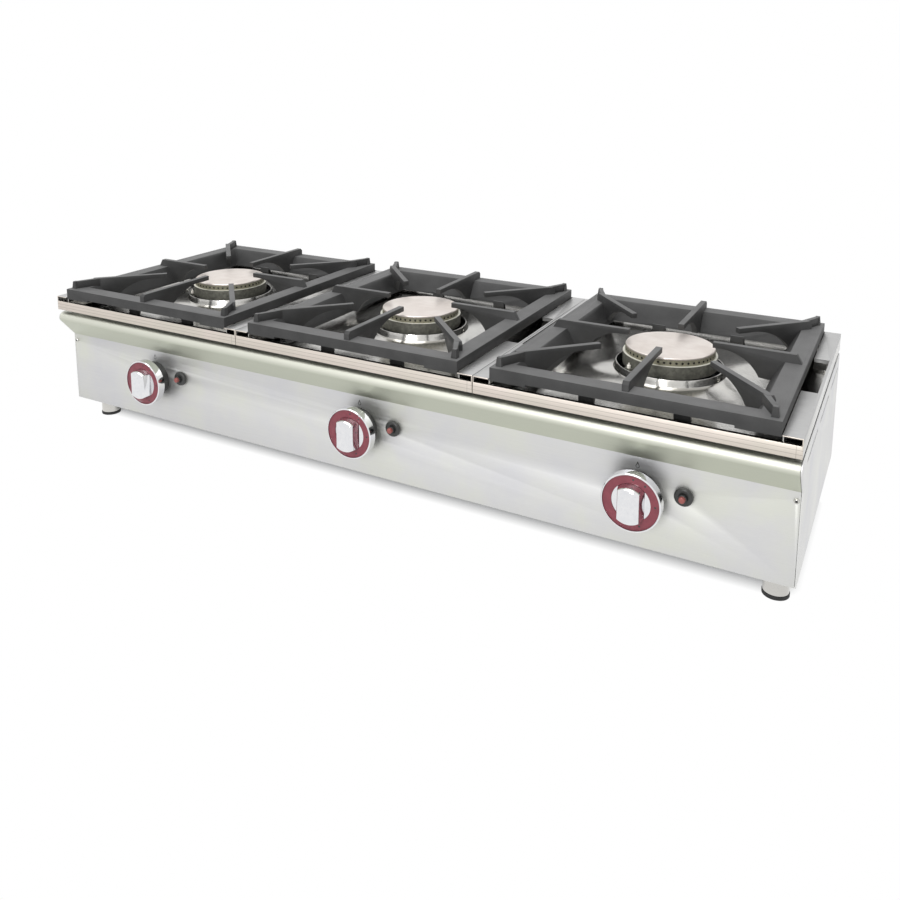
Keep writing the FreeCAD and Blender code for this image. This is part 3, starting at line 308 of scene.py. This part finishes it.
def portedBrass():
    # the ring of flame ports: heat-dulled brass, with painted shade inside the ports and on the floor behind
    # the port face
    brassTints = [(0.3, "#7c7a6b"), (0.5, "#8b8877"), (0.75, "#9c967d")]
    material = heatedMetal("portRingPaintedShade", brassTints, 0.8, 0.03, 0.5)
    tree, shader, plain = colourOf(material)
    aside, along, height = fromBurner(tree, placeOf(tree))
    radius = lengthOf(tree, aside, along)
    inside = rangeOf(tree, radius, 1, 0, burnerRing["portFloor"], burnerRing["portFace"])
    angle = calculate(tree, "ARCTAN2", along, aside)
    nearest = calculate(tree, "PINGPONG", angle, math.pi / burnerRing["ports"])
    arc = calculate(tree, "MULTIPLY", nearest, burnerRing["portFace"])
    rise = calculate(tree, "SUBTRACT", height, burnerRing["portLevel"])
    mouth = rangeOf(tree, lengthOf(tree, arc, rise), 1, 0, *burnerRing["portShadeRadius"])
    # painted shade: near black in the port mouths and on the recessed floor
    portShade = mixColours(tree, largest(tree, inside, mouth), plain, "#0c0c0b")
    tree.links.new(portShade, shader.inputs["Base Color"])
    return material


def castRing():
    # the cast cup of a burner: grey and rough, brighter along its top edge
    material = heatedMetal("castBurnerCup", [(0.35, "#56564f"), (0.7, "#77766d")], 1.2, 0.15, 0.35)
    tree, shader, plain = colourOf(material)
    height = addNode(tree, "ShaderNodeSeparateXYZ", {"Vector": placeOf(tree)}).outputs["Z"]
    # brighter towards the top edge, set by height alone
    brightTopEdge = rangeOf(tree, height, 0, 1, *[burnerRing["lip"] - low for low in burnerRing["brightTopEdge"]])
    tree.links.new(mixColours(tree, brightTopEdge, plain, "#d6d5ca"), shader.inputs["Base Color"])
    return material


def platedChrome():
    # bright chrome plating on a zinc casting: mirror with a few faint wipe marks
    material, tree, shader = newMaterial("brightChromePlate", Metallic=1.0)
    place = placeOf(tree)
    wipes = noiseAt(tree, place, 7, 4, 0.6)
    tree.links.new(rangeOf(tree, wipes.outputs["Fac"], 0.035, 0.09), shader.inputs["Roughness"])
    tree.links.new(rampOf(tree, wipes.outputs["Fac"], [(0.3, "#dfe0e3"), (0.7, "#e9e9ea")]),
                   shader.inputs["Base Color"])
    ripples = noiseAt(tree, place, 14, 1)
    bumpOf(tree, shader, ripples.outputs["Fac"], 0.08)
    return material


def mouldedPlastic(name, stops, ior=1.52, roughness=(0.28, 0.4), grainMm=0.9, depthMm=0.02):
    # injection moulded plastic with a fine satin texture from its tool
    material, tree, shader = newMaterial(name, IOR=ior)
    place = placeOf(tree)
    shades = noiseAt(tree, place, 9, 2)
    tree.links.new(rampOf(tree, shades.outputs["Fac"], stops), shader.inputs["Base Color"])
    grain = noiseAt(tree, place, grainMm, 2)
    tree.links.new(rangeOf(tree, grain.outputs["Fac"], *roughness), shader.inputs["Roughness"])
    bumpOf(tree, shader, grain.outputs["Fac"], depthMm)
    return material


def zincSheet():
    # hot dip galvanised sheet: crystal spangles of slightly different grey
    material, tree, shader = newMaterial("galvanisedSheet", Metallic=0.9)
    place = placeOf(tree)
    spangles = addNode(tree, "ShaderNodeTexVoronoi", {"Vector": place, "Scale": 1 / 9})
    tree.links.new(rampOf(tree, spangles.outputs["Color"], [(0.2, "#8f9396"), (0.8, "#a9adaf")]),
                   shader.inputs["Base Color"])
    tree.links.new(rangeOf(tree, spangles.outputs["Distance"], 0.35, 0.5, 0, 1), shader.inputs["Roughness"])
    bumpOf(tree, shader, spangles.outputs["Distance"], 0.02)
    return material


finishes = {
    "brushed_stainless": brushedSteel(
        "brushedStainless", [(0.32, "#dadadc"), (0.5, "#dfdfde"), (0.68, "#e3e3e0")]),
    "polished_stainless": rolledSteel("rolledStainless", [(0.3, "#bdbcb9"), (0.7, "#cfcdc8")]),
    "galvanised": zincSheet(),
    "black_enamel": enamelledIron(),
    "brass": heatedMetal(
        "heatDulledBrass", [(0.3, "#706f62"), (0.5, "#807e6e"), (0.75, "#928c74")], 0.8, 0.03, 0.5),
    "cap_steel": spunCap(),
    "chrome": platedChrome(),
    "red_scale": mouldedPlastic("satinRedScale", [(0.3, "#702e39"), (0.7, "#7b3540")], depthMm=0.01),
    "black_plastic": mouldedPlastic("blackPhenolic", [(0.3, "#262726"), (0.7, "#313231")]),
    "black_rubber": mouldedPlastic(
        "mouldedRubber", [(0.3, "#1b1b1b"), (0.7, "#242424")], roughness=(0.6, 0.75)),
    "steel_pipe": rolledSteel("drawnSteelTube", [(0.3, "#9b9c98"), (0.7, "#b1b1ac")], (0.25, 0.38), 12, 0.05),
    "ceramic": mouldedPlastic(
        "glazedCeramic", [(0.3, "#e6e2d8"), (0.7, "#f0ede6")], 1.55, (0.12, 0.2), 1.5, 0.01),
    "button_plastic": tippedButton(),
}
# pieces with a finish of their own, whatever their slot
ownFinish = {
    "top_tray": pressedTray(), "control_panel": frontPanelSteel(),
    "burner_head": portedBrass(), "burner_body": castRing(),
}


def finishOf(node):
    return ownFinish.get(node.rstrip("_123")) or finishes[slotOfNode[node]]


print("materials made:", len(finishes) + len(ownFinish))


def deselectAll():
    if bpy.context.object and bpy.context.object.mode != "OBJECT":
        bpy.ops.object.mode_set(mode="OBJECT")
    bpy.ops.object.select_all(action="DESELECT")


def makeActive(piece):
    deselectAll()
    piece.hide_set(False)
    piece.select_set(True)
    bpy.context.view_layer.objects.active = piece


dressing = {"smoothDegrees": 35, "bevelDegrees": 28, "segments": 2, "flatDegrees": 0.6, "mergeMm": 0.002}


def finishPiece(piece, body, slot, replaces=(), material=None):
    makeActive(piece)
    bpy.ops.object.transform_apply(location=True, rotation=True, scale=True)
    bpy.ops.object.shade_smooth_by_angle(angle=math.radians(dressing["smoothDegrees"]))
    piece.data.materials.clear()
    piece.data.materials.append(material or finishes[slot])
    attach(piece, body)
    if replaces:
        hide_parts(*replaces)
    return piece


def applyModifier(piece, kind, **settings):
    makeActive(piece)
    modifier = piece.modifiers.new(kind.title(), kind)
    for name, value in settings.items():
        setattr(modifier, name, value)
    bpy.ops.object.modifier_apply(modifier=modifier.name)


def dressNode(node, roundMm):
    # a copy of a node's solid with its triangles merged and its edges rounded
    mesh = frame["nodes"][node].data.copy()
    piece = bpy.data.objects.new(node + "_dressed", mesh)
    bpy.context.scene.collection.objects.link(piece)
    makeActive(piece)
    if mesh.has_custom_normals:
        bpy.ops.mesh.customdata_custom_splitnormals_clear()
    bpy.ops.object.mode_set(mode="EDIT")
    bpy.ops.mesh.select_all(action="SELECT")
    bpy.ops.mesh.remove_doubles(threshold=dressing["mergeMm"] * mm)
    bpy.ops.mesh.dissolve_limited(angle_limit=math.radians(dressing["flatDegrees"]))
    bpy.ops.object.mode_set(mode="OBJECT")
    applyModifier(piece, "BEVEL", width=roundMm * mm, segments=dressing["segments"], limit_method="ANGLE",
                  angle_limit=math.radians(dressing["bevelDegrees"]), miter_outer="MITER_ARC",
                  use_clamp_overlap=True)
    applyModifier(piece, "WEIGHTED_NORMAL", keep_sharp=True)
    return finishPiece(piece, bodyOfNode[node], slotOfNode[node], [node], finishOf(node))


# how far the edges of each piece are rounded, in millimetres
roundings = {
    "control_panel": 0.5, "left_side_panel": 0.35, "right_side_panel": 0.35, "back_panel": 0.35,
    "foot_pads": 0.6, "foot_front_left": 0.5, "foot_front_right": 0.5, "foot_rear_left": 0.5,
    "foot_rear_right": 0.5, "panel_screws": 0.25, "gas_inlet": 0.4,
}
perModule = {
    "top_tray": 0.3, "pan_support": 1.1, "burner_cap": 0.3, "burner_body": 0.5,
    "knob": 0.5, "knob_base": 0.5, "knob_ring": 0.15, "igniter_body": 0.5, "igniter_button": 0.3,
}
for nodeName, width in roundings.items():
    dressNode(nodeName, width)
for part, width in perModule.items():
    # a module's piece is dressed once in the middle and copied to both sides, where the sizes are the same
    middle = dressNode(f"{part}_2", width)
    for number in (1, 3):
        node = f"{part}_{number}"
        copy = middle.copy()
        copy.data = middle.data.copy()
        copy.name = node + "_dressed"
        bpy.context.scene.collection.objects.link(copy)
        copy.location.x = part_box(node)[0][0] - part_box(f"{part}_2")[0][0]
        finishPiece(copy, bodyOfNode[node], slotOfNode[node], [node], finishOf(node))
print("dressed pieces made")


# webs that join the corner fingers of a pan support to its corner posts: their heights are in metres,
# all else in millimetres
cornerWeb = {"inner": (150.5, 160.3), "outer": (167.2, 196.6), "top": 0.2588, "low": 0.2455,
             "widths": (8.2, 6.6), "round": 1.2,
             "corners": ((-1, -1, "frontLeft"), (1, -1, "frontRight"),
                         (-1, 1, "rearLeft"), (1, 1, "rearRight"))}

for number in modules:
    for sideX, sideY, corner in cornerWeb["corners"]:
        start = Vector((sideX * cornerWeb["inner"][0], sideY * cornerWeb["inner"][1], 0)) * mm
        end = Vector((sideX * cornerWeb["outer"][0], sideY * cornerWeb["outer"][1], 0)) * mm
        run = end - start
        centre = (start + end) / 2 + Vector(((number - 2) * modulePitch * mm, burnerY,
                                             (cornerWeb["top"] + cornerWeb["low"]) / 2))
        bpy.ops.mesh.primitive_cube_add(size=1, location=centre, rotation=(0, 0, math.atan2(run.y, run.x)))
        web = bpy.context.object
        web.name = f"cornerWeb_{number}_{corner}"
        web.scale = (run.length, cornerWeb["widths"][0] * mm, cornerWeb["top"] - cornerWeb["low"])
        bpy.ops.object.mode_set(mode="EDIT")
        bpy.ops.mesh.select_all(action="DESELECT")
        bpy.ops.mesh.select_mode(type="VERT")
        shape = bmesh.from_edit_mesh(web.data)
        for vertex in shape.verts:
            vertex.select = vertex.co.x > 0
        shape.select_flush(True)
        bmesh.update_edit_mesh(web.data)
        narrow = cornerWeb["widths"][1] / cornerWeb["widths"][0]
        bpy.ops.transform.resize(value=(1, narrow, 1), orient_type="LOCAL")
        bpy.ops.object.mode_set(mode="OBJECT")
        bpy.ops.object.transform_apply(location=True, rotation=True, scale=True)
        applyModifier(web, "BEVEL", width=cornerWeb["round"] * mm, segments=dressing["segments"],
                      limit_method="ANGLE")
        finishPiece(web, f"support_{number}", "black_enamel")
print("corner webs made")


markEdge = {"roundShare": 1 / 4, "degrees": 40}


def flatMark(name, place, size, body, sides=24):
    # a thin round or six-sided black spot on a face that looks to the front
    bpy.ops.mesh.primitive_cylinder_add(vertices=sides, radius=size[0], depth=size[1], location=place,
                                        rotation=(math.pi / 2, 0, 0))
    mark = bpy.context.object
    mark.name = name
    bpy.ops.object.transform_apply(location=True, rotation=True, scale=True)
    applyModifier(mark, "BEVEL", width=size[1] * markEdge["roundShare"], segments=1, limit_method="ANGLE",
                  angle_limit=math.radians(markEdge["degrees"]))
    return finishPiece(mark, body, "black_plastic")


# a size is a radius and a thickness
scaleMarks = {"clockAngles": (4, 34, 88, 157), "fromCentre": 29.8 * mm, "size": (1.25 * mm, 0.3 * mm)}
socketShadeMark = {"places": ((-0.594, 0.146), (0.594, 0.146)), "headHeight": 1.9 * mm,
             "size": (1.7 * mm, 0.3 * mm)}
flameMark = {"aside": -1.5 * mm, "height": 0.1452, "radius": 2.1 * mm, "line": 0.42 * mm, "rise": 2.6 * mm,
             "steps": (28, 6), "flatness": 0.25}

for number, knobX in knobPlaces.items():
    for index, clock in enumerate(scaleMarks["clockAngles"]):
        angle = math.radians(clock)
        spot = (knobX + scaleMarks["fromCentre"] * math.sin(angle), frontY,
                knobHeight + scaleMarks["fromCentre"] * math.cos(angle))
        flatMark(f"scaleMark_{number}_{index}", spot, scaleMarks["size"], f"control_{number}")
# painted shade: a thin black hexagon on each screw head stands for the shade in its socket
for index, (x, z) in enumerate(socketShadeMark["places"]):
    spot = (x, panelY - socketShadeMark["headHeight"], z)
    flatMark(f"screwSocketShade_{index}", spot, socketShadeMark["size"], "chassis", sides=6)
for number, knobX in knobPlaces.items():
    place = (knobX + flameMark["aside"], panelY, flameMark["height"])
    bpy.ops.mesh.primitive_torus_add(
        major_segments=flameMark["steps"][0], minor_segments=flameMark["steps"][1],
        major_radius=flameMark["radius"], minor_radius=flameMark["line"],
        location=place, rotation=(math.pi / 2, 0, 0))
    drop = bpy.context.object
    drop.name = f"flameMark_{number}"
    drop.scale.z = flameMark["flatness"]  # nearly flat, as printed
    bpy.ops.object.transform_apply(location=True, rotation=True, scale=True)
    bpy.ops.object.mode_set(mode="EDIT")
    shape = bmesh.from_edit_mesh(drop.data)
    for vertex in shape.verts:
        aside, up = vertex.co.x - place[0], vertex.co.z - place[2]
        if up > 0:
            part = up / flameMark["radius"]
            vertex.co.z += flameMark["rise"] * part * part * max(0, 1 - abs(aside) / flameMark["radius"])
    bmesh.update_edit_mesh(drop.data)
    bpy.ops.object.mode_set(mode="OBJECT")
    finishPiece(drop, "chassis", "black_plastic")
print("marks made")

for nodeName, node in frame["nodes"].items():
    node.data.materials.clear()
    node.data.materials.append(finishOf(nodeName))


# the camera that took the photograph, as fitted to it
camera = {
    "focalPixels": 884.7, "centre": (441.1, 211.4), "place": (0.6901, frontY - 0.97245, 0.6333),
    "yaw": 28.88, "pitch": 9.72, "roll": 0.12, "frame": 900, "sensorMm": 36, "nearest": 0.01,
}


def addCamera():
    yaw, pitch, roll = (math.radians(camera[name]) for name in ("yaw", "pitch", "roll"))
    forward = Vector((-math.sin(yaw) * math.cos(pitch), math.cos(yaw) * math.cos(pitch), -math.sin(pitch)))
    right = forward.cross(Vector((0, 0, 1))).normalized()
    up = right.cross(forward)
    rolledRight = right * math.cos(roll) + up * math.sin(roll)
    rolledUp = up * math.cos(roll) - right * math.sin(roll)
    bpy.ops.object.camera_add(location=camera["place"])
    item = bpy.context.object
    turn = Matrix((rolledRight, rolledUp, -forward)).transposed()
    item.matrix_world = Matrix.Translation(camera["place"]) @ turn.to_4x4()
    item.data.sensor_width = camera["sensorMm"]
    item.data.lens = camera["focalPixels"] / camera["frame"] * camera["sensorMm"]
    half = camera["frame"] / 2
    item.data.shift_x = (half - camera["centre"][0]) / camera["frame"]
    item.data.shift_y = (camera["centre"][1] - half) / camera["frame"]
    item.data.clip_start = camera["nearest"]
    bpy.context.scene.camera = item


def aimAt(item, target):
    item.rotation_euler = (Vector(target) - item.location).to_track_quat("-Z", "Y").to_euler()


def addLamp(name, place, target, size, watts):
    bpy.ops.object.light_add(type="AREA", location=place)
    lamp = bpy.context.object
    lamp.name = name
    lamp.data.shape = "RECTANGLE"
    lamp.data.size, lamp.data.size_y = size
    lamp.data.energy = watts
    aimAt(lamp, target)


def whiteForCamera(tree, other):
    # 1 for camera, glossy and transmission rays, another strength for the rest
    path = addNode(tree, "ShaderNodeLightPath")
    seen = largest(tree, *[path.outputs[f"Is {ray} Ray"] for ray in ("Camera", "Glossy", "Transmission")])
    return rangeOf(tree, seen, other, 1, 0, 1)


stage = {
    "worldLight": 0.6, "floorSize": 60, "paper": "#f0f0f0",
    "shade": (0.565, 0.115, 0), "fade": (0.0, 0.035),  # metres: half the shaded rectangle, the glow's rise
    "sun": {"from": (-0.5, -0.9, 3), "strength": 1.6, "angle": 45},
    "front": {"from": (0.35, -2.4, 1.05), "at": (0, 0, 0.1), "size": (0.5, 0.5), "watts": 22},
}


def addStage():
    world = bpy.data.worlds.new("studio")
    bpy.context.scene.world = world
    world.use_nodes = True
    background = world.node_tree.nodes["Background"]
    background.inputs["Color"].default_value = (1, 1, 1, 1)
    strength = whiteForCamera(world.node_tree, stage["worldLight"])
    world.node_tree.links.new(strength, background.inputs["Strength"])
    bpy.ops.mesh.primitive_plane_add(size=stage["floorSize"], location=(0, 0, 0))
    floor = bpy.context.object
    floor.name = "studioFloor"
    # white paper: shaded under and just round the range, glowing white further out, so that no horizon shows
    material, tree, shader = newMaterial("whitePaper", Roughness=0.9)
    shader.inputs["Emission Color"].default_value = (1, 1, 1, 1)
    shader.inputs["Specular IOR Level"].default_value = 0.0
    coordinates = addNode(tree, "ShaderNodeTexCoord")
    away = coordinates.outputs["Object"]
    steps = (("ABSOLUTE", {}), ("SUBTRACT", {1: stage["shade"]}), ("MAXIMUM", {1: (0, 0, 0)}))
    for operation, inputs in steps:
        away = addNode(tree, "ShaderNodeVectorMath", {0: away, **inputs}, operation=operation).outputs[0]
    distance = addNode(tree, "ShaderNodeVectorMath", {0: away}, operation="LENGTH").outputs["Value"]
    far = rangeOf(tree, distance, 0, 1, *stage["fade"])
    glow = calculate(tree, "MULTIPLY", far, whiteForCamera(tree, 0))
    tree.links.new(glow, shader.inputs["Emission Strength"])
    tree.links.new(mixColours(tree, glow, stage["paper"], "#000000"), shader.inputs["Base Color"])
    floor.data.materials.append(material)
    bpy.ops.object.light_add(type="SUN", location=stage["sun"]["from"])
    sky = bpy.context.object
    sky.name = "highSoftbox"
    sky.data.energy = stage["sun"]["strength"]
    sky.data.angle = math.radians(stage["sun"]["angle"])
    aimAt(sky, (0, 0, 0))
    front = stage["front"]
    addLamp("frontSoftbox", front["from"], front["at"], front["size"], front["watts"])


addCamera()
addStage()
bpy.context.scene.view_settings.view_transform = "Standard"
print("camera and studio made")
